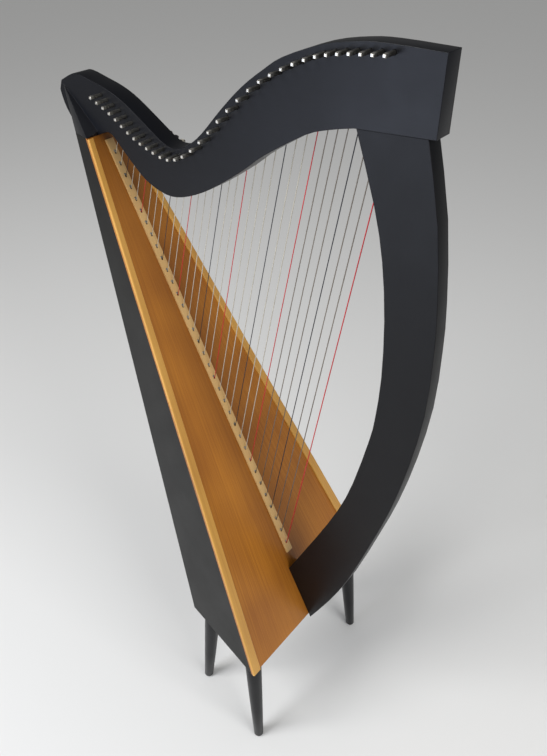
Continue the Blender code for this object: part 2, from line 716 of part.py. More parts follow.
def make_bottom():
    """The thick bottom that the legs screw into."""
    bottom = make_block("bottom_panel", LEG_HEIGHT, LEG_HEIGHT + BOTTOM_WALL, BLACK_LACQUER)
    holes = bmesh.new()
    for _, _, top in leg_places():
        loft_rings(holes, [circle((*top, z), STUD_RADIUS + CLEARANCE, 8, "Z")
                           for z in (LEG_HEIGHT - 0.01, LEG_HEIGHT + STUD_INTO_BOX + CLEARANCE)])
    add_cutter(bottom, holes)
    low = ((BOTTOM_WALL + 2 * CLEARANCE) / math.cos(BOARD_LEAN) + FOOT_BLOCK_DEPTH * math.tan(BOARD_LEAN)
           + FOOT_BLOCK_SPACE)
    bm = bmesh.new()
    board_box(bm, low, low + FOOT_BLOCK_LENGTH, COLUMN_MIDDLE_Y - FOOT_BLOCK_WIDTH / 2,
              COLUMN_MIDDLE_Y + FOOT_BLOCK_WIDTH / 2, BOARD_THICKNESS + CLEARANCE,
              BOARD_THICKNESS + CLEARANCE + FOOT_BLOCK_DEPTH)
    block = add_object("foot_block", bm, BARE_WOOD, board_frame)
    add_cutter(block, bolt_holes(BOLT_RADIUS + CLEARANCE), board_frame)


def make_top_block():
    """The block in the top of the soundbox that the neck is dowelled to."""
    top = make_block("top_block", BOX_TOP_Z - TOP_BLOCK_HEIGHT, BOX_TOP_Z, BARE_WOOD)
    add_cutter(top, dowel_bodies(shoulder_dowels(), DOWEL_RADIUS + CLEARANCE, DOWEL_HALF_LENGTH + CLEARANCE))
    room = bmesh.new()
    room_end = BOARD_LENGTH - INNER_RIB_TOP_MARGIN + CLEARANCE
    board_box(room, HOLE_LAST - 2 * TOP_BLOCK_HEIGHT, room_end,
              -INNER_RIB_WIDTH / 2 - CLEARANCE, INNER_RIB_WIDTH / 2 + CLEARANCE,
              -BOARD_THICKNESS, INNER_RIB_BACK + KNOT_ROOM)
    add_cutter(top, room, board_frame)


def make_fasteners():
    """Bolts that pull the column's foot onto the board, and the dowels of the neck."""
    back = BOARD_THICKNESS + 2 * CLEARANCE + FOOT_BLOCK_DEPTH
    for number, s in enumerate(BOLT_PLACES, 1):
        bm = bmesh.new()
        stations = ((-BOLT_INTO_COLUMN, BOLT_RADIUS), (back, BOLT_RADIUS), (back + 0.0001, BOLT_HEAD_RADIUS),
                    (back + BOLT_HEAD_HEIGHT, BOLT_HEAD_RADIUS))
        loft_rings(bm, [circle((s, COLUMN_MIDDLE_Y, n), radius, 8, "Z") for n, radius in stations])
        add_object(f"column_bolt_{number}", bm, STEEL, board_frame)
    add_object("column_dowel", dowel_bodies(column_dowels(), DOWEL_RADIUS, DOWEL_HALF_LENGTH), BARE_WOOD)
    add_object("shoulder_dowel", dowel_bodies(shoulder_dowels(), DOWEL_RADIUS, DOWEL_HALF_LENGTH), BARE_WOOD)


make_side("soundbox_side_right", -1)
make_side("soundbox_side_left", 1)
make_back()
make_bottom()
make_top_block()
make_soundboard()
make_batten("edge_batten_right", -1)
make_batten("edge_batten_left", 1)
make_ribs()
column_part = make_column()
neck_part = make_neck()
make_tuning_pins()
make_strings()
make_legs()
make_fasteners()

# The origin is on the floor below the middle of the whole harp
front = max(v.co.x for v in column_part.data.vertices)
rear = BOX_TOP_X + min(v.co.x for v in neck_part.data.vertices)
root.location.x = -(front + rear) / 2
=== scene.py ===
import math

import bmesh
import bpy
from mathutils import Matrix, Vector


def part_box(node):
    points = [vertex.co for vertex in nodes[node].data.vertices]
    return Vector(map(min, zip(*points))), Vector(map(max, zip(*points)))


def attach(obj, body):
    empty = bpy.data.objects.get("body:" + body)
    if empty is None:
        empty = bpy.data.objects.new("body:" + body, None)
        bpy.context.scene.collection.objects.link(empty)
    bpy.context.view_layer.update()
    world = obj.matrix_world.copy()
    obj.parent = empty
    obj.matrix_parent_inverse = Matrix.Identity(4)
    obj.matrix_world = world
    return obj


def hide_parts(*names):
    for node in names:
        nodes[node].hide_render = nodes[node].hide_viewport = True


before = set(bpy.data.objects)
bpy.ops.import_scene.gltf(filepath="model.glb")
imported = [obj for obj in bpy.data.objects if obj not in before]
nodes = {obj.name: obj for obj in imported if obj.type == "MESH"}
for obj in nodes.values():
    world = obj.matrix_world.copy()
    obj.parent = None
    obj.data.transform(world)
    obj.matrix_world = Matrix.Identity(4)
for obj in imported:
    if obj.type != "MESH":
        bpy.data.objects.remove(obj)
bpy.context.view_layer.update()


# Soundbox sides, bottom and back: thin boards with a black satin lacquer over a fine open grain.
# They are glued at the corners, so only their edges and outer faces show.
def node(tree, kind, **values):
    """A shader node with its plain attributes set."""
    made = tree.nodes.new(kind)
    for key, value in values.items():
        setattr(made, key, value)
    return made


def put(tree, socket, value):
    """Link an output socket to an input, or set the input's constant."""
    if isinstance(value, bpy.types.NodeSocket):
        tree.links.new(value, socket)
    else:
        socket.default_value = value


def calc(tree, operation, a, b=0.0):
    """One step of arithmetic."""
    made = node(tree, "ShaderNodeMath", operation=operation)
    put(tree, made.inputs[0], a)
    put(tree, made.inputs[1], b)
    return made.outputs[0]


def noise(tree, vector, scale, detail=4.0, roughness=0.55):
    """Fine variation between 0 and 1."""
    made = node(tree, "ShaderNodeTexNoise")
    put(tree, made.inputs["Vector"], vector)
    put(tree, made.inputs["Scale"], scale)
    put(tree, made.inputs["Detail"], detail)
    put(tree, made.inputs["Roughness"], roughness)
    return made.outputs["Fac"]


def new_group(name, inputs, outputs):
    """An empty shader group with named sockets."""
    group = bpy.data.node_groups.new(name, "ShaderNodeTree")
    for label, kind, value in inputs:
        made = group.interface.new_socket(name=label, in_out="INPUT", socket_type=kind)
        made.default_value = value
    for label, kind in outputs:
        group.interface.new_socket(name=label, in_out="OUTPUT", socket_type=kind)
    return group, group.nodes.new("NodeGroupInput"), group.nodes.new("NodeGroupOutput")


def make_lacquer_group():
    """Lacquer over open-grained wood: faint pores, dust and handling marks."""
    group, start, end = new_group(
        "lacquer_over_grain",
        (("Lacquer", "NodeSocketColor", (0.01, 0.01, 0.01, 1)),
         ("Worn", "NodeSocketColor", (0.03, 0.03, 0.03, 1)),
         ("Roughness", "NodeSocketFloat", 0.35), ("Pore Scale", "NodeSocketFloat", 500.0),
         ("Along", "NodeSocketVector", (1.0, 1.0, 0.05))),
        (("Color", "NodeSocketColor"), ("Roughness", "NodeSocketFloat"), ("Height", "NodeSocketFloat")))
    where = group.nodes.new("ShaderNodeTexCoord").outputs["Object"]
    stretched = node(group, "ShaderNodeVectorMath", operation="MULTIPLY")
    put(group, stretched.inputs[0], where)
    put(group, stretched.inputs[1], start.outputs["Along"])
    pores = noise(group, stretched.outputs[0], start.outputs["Pore Scale"], 3.0)
    cloud = noise(group, where, 9.0, 5.0)
    specks = noise(group, where, 900.0, 2.0)
    mix = node(group, "ShaderNodeMix", data_type="RGBA")
    put(group, mix.inputs["Factor"], calc(group, "MULTIPLY", calc(group, "POWER", pores, 3.0), cloud))
    put(group, mix.inputs["A"], start.outputs["Lacquer"])
    put(group, mix.inputs["B"], start.outputs["Worn"])
    put(group, end.inputs["Color"], mix.outputs["Result"])
    uneven = calc(group, "MULTIPLY", calc(group, "SUBTRACT", cloud, 0.5), 0.3)
    rough = calc(group, "ADD", start.outputs["Roughness"], uneven)
    put(group, end.inputs["Roughness"], calc(group, "ADD", rough, calc(group, "MULTIPLY", specks, 0.06)))
    put(group, end.inputs["Height"], pores)
    return group


LACQUER_GROUP = make_lacquer_group()


def principled(name):
    """A material with its shader ready to be fed."""
    made = bpy.data.materials.new(name)
    made.use_nodes = True
    return made, made.node_tree, made.node_tree.nodes["Principled BSDF"]


def bump(tree, shader, height, depth, edge=0.0012):
    """Small relief on edges that are slightly rounded."""
    rounded = node(tree, "ShaderNodeBevel", samples=6)
    rounded.inputs["Radius"].default_value = edge
    made = node(tree, "ShaderNodeBump")
    made.inputs["Distance"].default_value = depth
    made.inputs["Strength"].default_value = 0.6
    put(tree, made.inputs["Height"], height)
    put(tree, made.inputs["Normal"], rounded.outputs[0])
    put(tree, shader.inputs["Normal"], made.outputs[0])


def lacquer(name, color, worn, roughness, coat, along=(1.0, 1.0, 0.05)):
    """Black lacquer in one of its shades."""
    made, tree, shader = principled(name)
    grain = node(tree, "ShaderNodeGroup", node_tree=LACQUER_GROUP)
    grain.inputs["Lacquer"].default_value = (*color, 1)
    grain.inputs["Worn"].default_value = (*worn, 1)
    grain.inputs["Roughness"].default_value = roughness
    grain.inputs["Along"].default_value = along
    put(tree, shader.inputs["Base Color"], grain.outputs["Color"])
    put(tree, shader.inputs["Roughness"], grain.outputs["Roughness"])
    shader.inputs["Specular IOR Level"].default_value = 0.2
    shader.inputs["Coat Weight"].default_value = coat
    shader.inputs["Coat Roughness"].default_value = 0.35
    bump(tree, shader, grain.outputs["Height"], 0.00008)
    return made


def dress(material, *names):
    """Give CAD pieces their finished material."""
    for name in names:
        mesh = nodes[name].data
        mesh.materials.clear()
        mesh.materials.append(material)


UP_THE_BOX = (1.0, 1.0, 0.06)
box_lacquer = lacquer("box_lacquer", (0.0045, 0.0044, 0.004), (0.018, 0.017, 0.014), 0.42, 0.03, UP_THE_BOX)
dress(box_lacquer, "soundbox_side_right", "soundbox_side_left", "soundbox_back", "bottom_panel")


# Soundboard: thin cedar veneer, its grain running up the board and closing towards the top.
# It is glued to the sides; painted shade darkens it near the string rib, standing in for the rib's shadow.
BOARD_LEAN = math.radians(27.54)
BOARD_LENGTH = 1.0985
BOARD_HALF = (0.218, 0.045)
BOARD_UP = Vector((-math.sin(BOARD_LEAN), 0, math.cos(BOARD_LEAN)))
BOARD_OUT = Vector((math.cos(BOARD_LEAN), 0, math.sin(BOARD_LEAN)))
board_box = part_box("soundboard")
BOARD_FOOT = Vector((board_box[1][0], 0, board_box[0][2]))


def make_wood_group():
    """Wood grain up the board, given the distance up it and the place across it."""
    group, start, end = new_group(
        "board_grain",
        (("Dark", "NodeSocketColor", (0.2, 0.1, 0.03, 1)), ("Light", "NodeSocketColor", (0.5, 0.3, 0.1, 1)),
         ("Lines", "NodeSocketFloat", 60.0), ("Narrowing", "NodeSocketFloat", 1.0)),
        (("Color", "NodeSocketColor"), ("Roughness", "NodeSocketFloat"), ("Height", "NodeSocketFloat"),
         ("Across", "NodeSocketFloat")))
    where = group.nodes.new("ShaderNodeTexCoord").outputs["Object"]
    moved = node(group, "ShaderNodeVectorMath", operation="SUBTRACT")
    put(group, moved.inputs[0], where)
    moved.inputs[1].default_value = BOARD_FOOT
    up = node(group, "ShaderNodeVectorMath", operation="DOT_PRODUCT")
    put(group, up.inputs[0], moved.outputs[0])
    up.inputs[1].default_value = BOARD_UP
    rise = up.outputs["Value"]
    parts = node(group, "ShaderNodeSeparateXYZ")
    put(group, parts.inputs[0], moved.outputs[0])
    slope = (BOARD_HALF[0] - BOARD_HALF[1]) / BOARD_LENGTH
    width = calc(group, "SUBTRACT", BOARD_HALF[0], calc(group, "MULTIPLY", rise, slope))
    fan = calc(group, "DIVIDE", parts.outputs["Y"], width)
    plain = calc(group, "DIVIDE", parts.outputs["Y"], BOARD_HALF[0])
    keep = calc(group, "SUBTRACT", 1.0, start.outputs["Narrowing"])
    across = calc(group, "ADD", calc(group, "MULTIPLY", fan, start.outputs["Narrowing"]),
                  calc(group, "MULTIPLY", plain, keep))
    place = node(group, "ShaderNodeCombineXYZ")
    put(group, place.inputs["X"], calc(group, "MULTIPLY", across, start.outputs["Lines"]))
    put(group, place.inputs["Y"], calc(group, "MULTIPLY", parts.outputs["X"], 3.0))
    put(group, place.inputs["Z"], calc(group, "MULTIPLY", rise, 2.2))
    rings = noise(group, place.outputs[0], 1.0, 6.0, 0.65)
    fine = noise(group, place.outputs[0], 5.0, 3.0, 0.6)
    cloud = noise(group, where, 4.0, 2.0)
    tone = calc(group, "ADD", calc(group, "MULTIPLY", rings, 0.62), calc(group, "MULTIPLY", fine, 0.38))
    tone = calc(group, "ADD", tone, calc(group, "MULTIPLY", calc(group, "SUBTRACT", cloud, 0.5), 0.55))
    ramp = node(group, "ShaderNodeMapRange")
    put(group, ramp.inputs["Value"], tone)
    ramp.inputs["From Min"].default_value = 0.30
    ramp.inputs["From Max"].default_value = 0.70
    mix = node(group, "ShaderNodeMix", data_type="RGBA")
    put(group, mix.inputs["Factor"], ramp.outputs[0])
    put(group, mix.inputs["A"], start.outputs["Dark"])
    put(group, mix.inputs["B"], start.outputs["Light"])
    put(group, end.inputs["Color"], mix.outputs["Result"])
    put(group, end.inputs["Roughness"], calc(group, "SUBTRACT", 0.52, calc(group, "MULTIPLY", rings, 0.2)))
    put(group, end.inputs["Height"], fine)
    put(group, end.inputs["Across"], calc(group, "ABSOLUTE", plain))
    return group


WOOD_GROUP = make_wood_group()


def wood(name, dark, light, lines, narrowing=1.0, coat=0.25, shade=0.0):
    """Lacquered or bare wood whose grain runs up the board."""
    made, tree, shader = principled(name)
    grain = node(tree, "ShaderNodeGroup", node_tree=WOOD_GROUP)
    grain.inputs["Dark"].default_value = (*dark, 1)
    grain.inputs["Light"].default_value = (*light, 1)
    grain.inputs["Lines"].default_value = lines
    grain.inputs["Narrowing"].default_value = narrowing
    # Painted shade: the board is darkened towards its middle, standing in for the shadow beside the string
    # rib.
    rib_shade_mask = node(tree, "ShaderNodeMapRange")
    put(tree, rib_shade_mask.inputs["Value"], grain.outputs["Across"])
    rib_shade_mask.inputs["From Max"].default_value = 0.35
    rib_shade_mask.inputs["To Min"].default_value = shade
    rib_shade_mask.inputs["To Max"].default_value = 0.0
    darker = node(tree, "ShaderNodeMix", data_type="RGBA", blend_type="MULTIPLY")
    put(tree, darker.inputs["Factor"], rib_shade_mask.outputs[0])
    put(tree, darker.inputs["A"], grain.outputs["Color"])
    darker.inputs["B"].default_value = (0.45, 0.38, 0.3, 1)
    put(tree, shader.inputs["Base Color"], darker.outputs["Result"])
    put(tree, shader.inputs["Roughness"], grain.outputs["Roughness"])
    shader.inputs["Coat Weight"].default_value = coat
    shader.inputs["Coat Roughness"].default_value = 0.3
    bump(tree, shader, grain.outputs["Height"], 0.00006, 0.0008)
    return made


cedar = wood("cedar_board", (0.25, 0.072, 0.004), (0.55, 0.215, 0.018), 120.0, coat=0.12, shade=0.6)
dress(cedar, "soundboard")


# Edge battens and string rib: pale hardwood strips glued over the board's edges and along its middle.
# The rib is drilled for the strings; a slightly glossier varnish gives the battens their bright line.
batten_wood = wood("batten_wood", (0.48, 0.22, 0.035), (0.72, 0.40, 0.085), 140.0, coat=0.5)
dress(batten_wood, "edge_batten_right", "edge_batten_left")
dress(wood("rib_wood", (0.55, 0.32, 0.11), (0.74, 0.48, 0.20), 260.0, 0.0, 0.3), "string_rib")


# Blocks, inner rib and dowels: plain wood inside the box, never varnished.
# They are seen only through the sound holes in the back.
dress(wood("bare_wood", (0.34, 0.20, 0.09), (0.55, 0.38, 0.20), 120.0, 0.0, 0.0),
      "inner_rib", "top_block", "foot_block", "column_dowel", "shoulder_dowel")


# Column and neck: laminated hardwood under black lacquer, with lightly rounded edges.
# The neck is drilled through for the pins and widens into the shoulder that meets the soundbox.
def soften(name, width, spare):
    """A copy of a CAD piece with its long edges rounded; holes keep their crisp rims."""
    mesh = nodes[name].data.copy()
    bm = bmesh.new()
    bm.from_mesh(mesh)
    bmesh.ops.remove_doubles(bm, verts=bm.verts[:], dist=0.00001)
    bmesh.ops.dissolve_limit(bm, angle_limit=math.radians(0.2), verts=bm.verts[:], edges=bm.edges[:])
    chosen = []
    for edge in bm.edges:
        if len(edge.link_faces) != 2 or edge.calc_face_angle(0) < math.radians(40):
            continue
        ends = [Vector((v.co.x, v.co.z)) for v in edge.verts]
        if any((end - centre).length < reach for end in ends for centre, reach in spare):
            continue
        chosen.append(edge)
    bmesh.ops.bevel(bm, geom=chosen, offset=width, segments=3, profile=0.5, affect="EDGES",
                    clamp_overlap=True)
    bmesh.ops.triangulate(bm, faces=bm.faces[:])
    bm.to_mesh(mesh)
    bm.free()
    mesh.shade_smooth()
    mesh.set_sharp_from_angle(angle=math.radians(32))
    for face in mesh.polygons:
        if abs(face.normal.y) > 0.999:
            face.use_smooth = False
    made = bpy.data.objects.new("dressed_" + name, mesh)
    bpy.context.scene.collection.objects.link(made)
    return made


def carry(thing, material, slot, *replaced):
    """Finish a new piece of the frame."""
    thing.data.materials.clear()
    thing.data.materials.append(material)
    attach(thing, "frame")
    if replaced:
        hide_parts(*replaced)


def pin_centre(index):
    """X and Z of a tuning pin's axis."""
    low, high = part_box(f"tuning_pin_{index:02d}")
    return Vector(((low[0] + high[0]) / 2, (low[2] + high[2]) / 2))


PINS = [pin_centre(i) for i in range(1, 35)]
pin_rims = [(place, 0.0045) for place in PINS]
ALONG_NECK = (0.08, 1.0, 0.6)
UP_THE_COLUMN = (1.0, 1.0, 0.05)
neck_lacquer = lacquer("neck_lacquer", (0.0022, 0.0026, 0.0045), (0.008, 0.009, 0.013), 0.34, 0.10,
                       ALONG_NECK)
column_lacquer = lacquer("column_lacquer", (0.0018, 0.002, 0.003), (0.007, 0.0075, 0.009), 0.38, 0.05,
                         UP_THE_COLUMN)
carry(soften("neck", 0.0014, pin_rims), neck_lacquer, "black_lacquer", "neck")
carry(soften("column", 0.0016, []), column_lacquer, "black_lacquer", "column")


# Legs: turned, tapering and splayed, black lacquered, each screwed into the box's bottom on a steel stud.
# A small step at the foot stands in for the glide.
def loft(name, rings):
    """A closed round body through rings of points."""
    bm = bmesh.new()
    made = [[bm.verts.new(point) for point in ring] for ring in rings]
    count = len(made[0])
    for lower, upper in zip(made, made[1:]):
        for i in range(count):
            bm.faces.new((lower[i], lower[(i + 1) % count], upper[(i + 1) % count], upper[i]))
    bm.faces.new(made[0][::-1])
    bm.faces.new(made[-1])
    bmesh.ops.recalc_face_normals(bm, faces=bm.faces[:])
    mesh = bpy.data.meshes.new(name)
    bm.to_mesh(mesh)
    bm.free()
    mesh.shade_smooth()
    mesh.set_sharp_from_angle(angle=math.radians(30))
    thing = bpy.data.objects.new(name, mesh)
    bpy.context.scene.collection.objects.link(thing)
    return thing


leg_lacquer = lacquer("leg_lacquer", (0.003, 0.003, 0.004), (0.014, 0.014, 0.015), 0.3, 0.2, (1.0, 1.0, 0.1))
LEG_FOOT_RADIUS = 0.0105
LEG_TOP_RADIUS = 0.018
LEG_SIDES = 48
LEG_PROFILE = ((0.0, LEG_FOOT_RADIUS - 0.0030), (0.006, LEG_FOOT_RADIUS - 0.0012), (0.016, LEG_FOOT_RADIUS),
               (0.35, 0.0136), (0.7, 0.0163), (0.985, LEG_TOP_RADIUS), (1.0, LEG_TOP_RADIUS - 0.001))
for side in ("front_left", "front_right", "rear_left", "rear_right"):
    low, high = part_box("leg_" + side)
    outward_x = 1 if "front" in side else -1
    outward_y = 1 if "left" in side else -1
    foot = Vector(((high[0] - LEG_FOOT_RADIUS) if outward_x > 0 else (low[0] + LEG_FOOT_RADIUS),
                   (high[1] - LEG_FOOT_RADIUS) if outward_y > 0 else (low[1] + LEG_FOOT_RADIUS), 0))
    stud_low, stud_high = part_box("stud_" + side)
    top = Vector(((stud_low[0] + stud_high[0]) / 2, (stud_low[1] + stud_high[1]) / 2, high[2]))
    rings = []
    for share, radius in LEG_PROFILE:
        centre = foot.lerp(top, share)
        angles = [math.tau * i / LEG_SIDES for i in range(LEG_SIDES)]
        rings.append([centre + Vector((radius * math.cos(a), radius * math.sin(a), 0)) for a in angles])
    carry(loft("dressed_leg_" + side, rings), leg_lacquer, "black_lacquer", "leg_" + side)


# Tuning pins, studs and bolts: dull nickel and plain steel, with fine turning marks and fingerprints.
# The pins are a tapered press fit in the neck and end in a square for the key.
def metal(name, color, roughness, mark, tip=None):
    """Turned metal with fine marks and a cloudy tarnish; a piece with a tip gets a painted highlight at that
    end and is darker along the rest of its body.
    """
    made, tree, shader = principled(name)
    where = tree.nodes.new("ShaderNodeTexCoord").outputs["Object"]
    marks = noise(tree, where, mark, 3.0)
    cloud = noise(tree, where, 60.0, 3.0)
    if tip is not None:
        # Painted highlight: the pin is bright near its key end and darker further along its body.
        place = node(tree, "ShaderNodeSeparateXYZ")
        put(tree, place.inputs[0], where)
        tip_highlight_mask = node(tree, "ShaderNodeMapRange")
        put(tree, tip_highlight_mask.inputs["Value"], place.outputs["Y"])
        tip_highlight_mask.inputs["From Min"].default_value = tip + 0.010
        tip_highlight_mask.inputs["From Max"].default_value = tip + 0.006
        cloud = calc(tree, "MULTIPLY", calc(tree, "ADD", cloud, 0.45), tip_highlight_mask.outputs[0])
    mix = node(tree, "ShaderNodeMix", data_type="RGBA")
    put(tree, mix.inputs["Factor"], cloud)
    mix.inputs["A"].default_value = (*[(0.55 if tip is None else 0.28) * c for c in color], 1)
    mix.inputs["B"].default_value = (*color, 1)
    put(tree, shader.inputs["Base Color"], mix.outputs["Result"])
    shader.inputs["Metallic"].default_value = 1.0
    put(tree, shader.inputs["Roughness"], calc(tree, "ADD", roughness, calc(tree, "MULTIPLY", marks, 0.25)))
    bump(tree, shader, marks, 0.00003, 0.0004)
    return made


nickel = metal("nickel", (0.72, 0.70, 0.66), 0.25, 2500.0)
steel = metal("steel", (0.60, 0.60, 0.62), 0.28, 1800.0)
pin_nickel = metal("pin_nickel", (0.86, 0.83, 0.76), 0.2, 2500.0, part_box("tuning_pin_01")[0][1])
dress(pin_nickel, *[f"tuning_pin_{i:02d}" for i in range(1, 35)])
dress(steel, "stud_front_left", "stud_front_right", "stud_rear_left", "stud_rear_right")
dress(steel, "column_bolt_1", "column_bolt_2")


# String shoes and bridge nuts: small turned metal pieces, one for each string, pressed into the wood.
# The shoes keep the strings from cutting the rib; the nuts set each string's sounding length.
STRINGS = 34
HOLE_FIRST = 0.1792
HOLE_LAST = 1.0592
HOLE_CROWDING = 0.137
RIB_TOP = 0.0041
STRING_OFF_NECK = 0.014
BRIDGE_RADIUS = 0.0022
BRIDGE_DROP = 0.030
PIN_RADIUS = 0.0036
NECK_BEYOND_COLUMN = 0.0023
neck_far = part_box("column")[1][1] + NECK_BEYOND_COLUMN


def hole_place(number):
    """The point where a string leaves the rib, counted from the bass."""
    share = (number - 1) / (STRINGS - 1)
    rise = HOLE_FIRST + (HOLE_LAST - HOLE_FIRST) * share + HOLE_CROWDING * share * (1 - share)
    return BOARD_FOOT + BOARD_UP * rise + BOARD_OUT * RIB_TOP


def string_line(number):
    """Hole, pin, bridge nut, and the directions along and across a string."""
    hole = hole_place(number)
    start = Vector((hole.x, hole.z))
    pin = PINS[STRINGS - number]
    along = (pin - start).normalized()
    across = Vector((along.y, -along.x))
    return hole, pin, pin - along * BRIDGE_DROP - across * (BRIDGE_RADIUS + 0.001), along, across


def make_repeat_tree():
    """Puts one small turned piece, with a rim, on every point of a mesh."""
    tree = bpy.data.node_groups.new("turned_piece_on_points", "GeometryNodeTree")
    for label, kind, value in (("Geometry", "NodeSocketGeometry", None), ("Radius", "NodeSocketFloat", 0.003),
                               ("Depth", "NodeSocketFloat", 0.001), ("Rim", "NodeSocketFloat", 1.3),
                               ("Turn", "NodeSocketVector", (0, 0, 0)),
                               ("Material", "NodeSocketMaterial", None)):
        made = tree.interface.new_socket(name=label, in_out="INPUT", socket_type=kind)
        if value is not None:
            made.default_value = value
    tree.interface.new_socket(name="Geometry", in_out="OUTPUT", socket_type="NodeSocketGeometry")
    start = tree.nodes.new("NodeGroupInput")
    end = tree.nodes.new("NodeGroupOutput")
    body = node(tree, "GeometryNodeMeshCylinder")
    body.inputs["Vertices"].default_value = 20
    put(tree, body.inputs["Radius"], start.outputs["Radius"])
    put(tree, body.inputs["Depth"], start.outputs["Depth"])
    rim = node(tree, "GeometryNodeMeshCylinder")
    rim.inputs["Vertices"].default_value = 20
    put(tree, rim.inputs["Radius"], calc_geometry(tree, start.outputs["Radius"], start.outputs["Rim"]))
    put(tree, rim.inputs["Depth"], calc_geometry(tree, start.outputs["Depth"], 0.25))
    join = tree.nodes.new("GeometryNodeJoinGeometry")
    tree.links.new(body.outputs["Mesh"], join.inputs[0])
    tree.links.new(rim.outputs["Mesh"], join.inputs[0])
    place = tree.nodes.new("GeometryNodeInstanceOnPoints")
    put(tree, place.inputs["Points"], start.outputs["Geometry"])
    put(tree, place.inputs["Instance"], join.outputs[0])
    put(tree, place.inputs["Rotation"], start.outputs["Turn"])
    real = tree.nodes.new("GeometryNodeRealizeInstances")
    put(tree, real.inputs[0], place.outputs[0])
    finish = tree.nodes.new("GeometryNodeSetMaterial")
    put(tree, finish.inputs["Geometry"], real.outputs[0])
    put(tree, finish.inputs["Material"], start.outputs["Material"])
    put(tree, end.inputs[0], finish.outputs[0])
    return tree


def calc_geometry(tree, a, b):
    """A product inside a geometry tree."""
    made = tree.nodes.new("ShaderNodeMath")
    made.operation = "MULTIPLY"
    put(tree, made.inputs[0], a)
    put(tree, made.inputs[1], b)
    return made.outputs[0]


REPEAT_TREE = make_repeat_tree()


def repeat(name, points, material, **values):
    """Small pieces on points, made a plain mesh."""
    mesh = bpy.data.meshes.new(name)
    mesh.from_pydata([tuple(p) for p in points], [], [])
    source = bpy.data.objects.new(name + "_points", mesh)
    bpy.context.scene.collection.objects.link(source)
    work = source.modifiers.new("repeat", "NODES")
    work.node_group = REPEAT_TREE
    keys = {item.name: item.identifier for item in REPEAT_TREE.interface.items_tree if item.in_out == "INPUT"}
    work[keys["Material"]] = material
    for key, value in values.items():
        work[keys[key]] = value
    source.update_tag()
    bpy.context.view_layer.update()
    graph = bpy.context.evaluated_depsgraph_get()
    made = bpy.data.objects.new(name, bpy.data.meshes.new_from_object(source.evaluated_get(graph)))
    bpy.data.objects.remove(source, do_unlink=True)
    made.data.shade_smooth()
    made.data.set_sharp_from_angle(angle=math.radians(35))
    bpy.context.scene.collection.objects.link(made)
    return made


bright = metal("shoe_metal", (0.50, 0.49, 0.46), 0.32, 1500.0)
SINK = BOARD_OUT * 0.0001
FLAT_ON_RIB = (0.0, math.pi / 2 - BOARD_LEAN, 0.0)
hole_points = [hole_place(n) - SINK for n in range(1, STRINGS + 1)]
shoe_points = [place + BOARD_UP * 0.004 for place in hole_points]
shoes = repeat("string_shoes", shoe_points, bright, Radius=0.0017, Depth=0.0014, Rim=1.35, Turn=FLAT_ON_RIB)
carry(shoes, bright, "steel")
nut_points = []
for n in range(1, STRINGS + 1):
    nut = string_line(n)[2]
    nut_points.append((nut.x, neck_far + 0.009, nut.y))
nuts = repeat("bridge_nuts", nut_points, nickel, Radius=BRIDGE_RADIUS, Depth=0.018, Rim=1.45,
              Turn=(math.pi / 2, 0.0, 0.0))
carry(nuts, nickel, "nickel")
# Dark discs on the rib at each string hole: painted shade standing in for the shaded inside of the holes,
# with a random dark tone.
hole_shade_material = principled("painted_hole_shade")[0]
holes = repeat("string_hole_shade", hole_points, hole_shade_material, Radius=0.0018, Depth=0.0008, Rim=1.1, Turn=FLAT_ON_RIB)
hole_tree = hole_shade_material.node_tree
hole_shader = hole_tree.nodes["Principled BSDF"]
hole_where = hole_tree.nodes.new("ShaderNodeTexCoord").outputs["Object"]
hole_mix = node(hole_tree, "ShaderNodeMix", data_type="RGBA")
put(hole_tree, hole_mix.inputs["Factor"], noise(hole_tree, hole_where, 800.0))
hole_mix.inputs["A"].default_value = (0.004, 0.003, 0.002, 1)
hole_mix.inputs["B"].default_value = (0.03, 0.018, 0.008, 1)
put(hole_tree, hole_shader.inputs["Base Color"], hole_mix.outputs["Result"])
hole_shader.inputs["Roughness"].default_value = 0.8
carry(holes, hole_shade_material, "steel")


# Strings: wound bass strings, then gut and nylon in the players' colours, red for C and black for F.
# Each runs from its hole past the bridge nut and ends in close turns round its tuning pin.
def string_radius(number):
    """Strings thin out towards the treble."""
    share = (number - 1) / (STRINGS - 1)
    return 0.0011 - 0.00055 * share ** 0.6


def string_material(name, dark, light, roughness, ribs, metallic=0.0):
    """Twisted gut or a wire-wound string, with its colour worn where it is plucked."""
    made, tree, shader = principled(name)
    where = tree.nodes.new("ShaderNodeTexCoord").outputs["Object"]
    wave = node(tree, "ShaderNodeTexWave", bands_direction="Z")
    put(tree, wave.inputs["Vector"], where)
    wave.inputs["Scale"].default_value = ribs
    wear = noise(tree, where, 25.0, 3.0)
    mix = node(tree, "ShaderNodeMix", data_type="RGBA")
    put(tree, mix.inputs["Factor"], wear)
    mix.inputs["A"].default_value = (*dark, 1)
    mix.inputs["B"].default_value = (*light, 1)
    put(tree, shader.inputs["Base Color"], mix.outputs["Result"])
    put(tree, shader.inputs["Roughness"], calc(tree, "ADD", roughness, calc(tree, "MULTIPLY", wear, 0.2)))
    shader.inputs["Metallic"].default_value = metallic
    bump(tree, shader, wave.outputs["Fac"], 0.00005, 0.0001)
    return made


def string_points(number):
    """The route of one string, with its turns on the pin."""
    hole, pin, bridge, along, across = string_line(number)
    radius = string_radius(number)
    plane = neck_far + STRING_OFF_NECK
    below = hole - BOARD_OUT * 0.010
    contact = bridge + across * (BRIDGE_RADIUS + radius)
    points = [below, hole + BOARD_OUT * 0.001, Vector((contact.x, plane, contact.y))]
    turn_radius = PIN_RADIUS + radius
    begin = math.atan2(-across.y, -across.x)
    turns = 3
    for i in range(turns * 12 + 1):
        angle = begin - math.tau * i / 12
        points.append(Vector((pin.x + turn_radius * math.cos(angle), plane - 2.1 * radius * i / 12,
                              pin.y + turn_radius * math.sin(angle))))
    return points


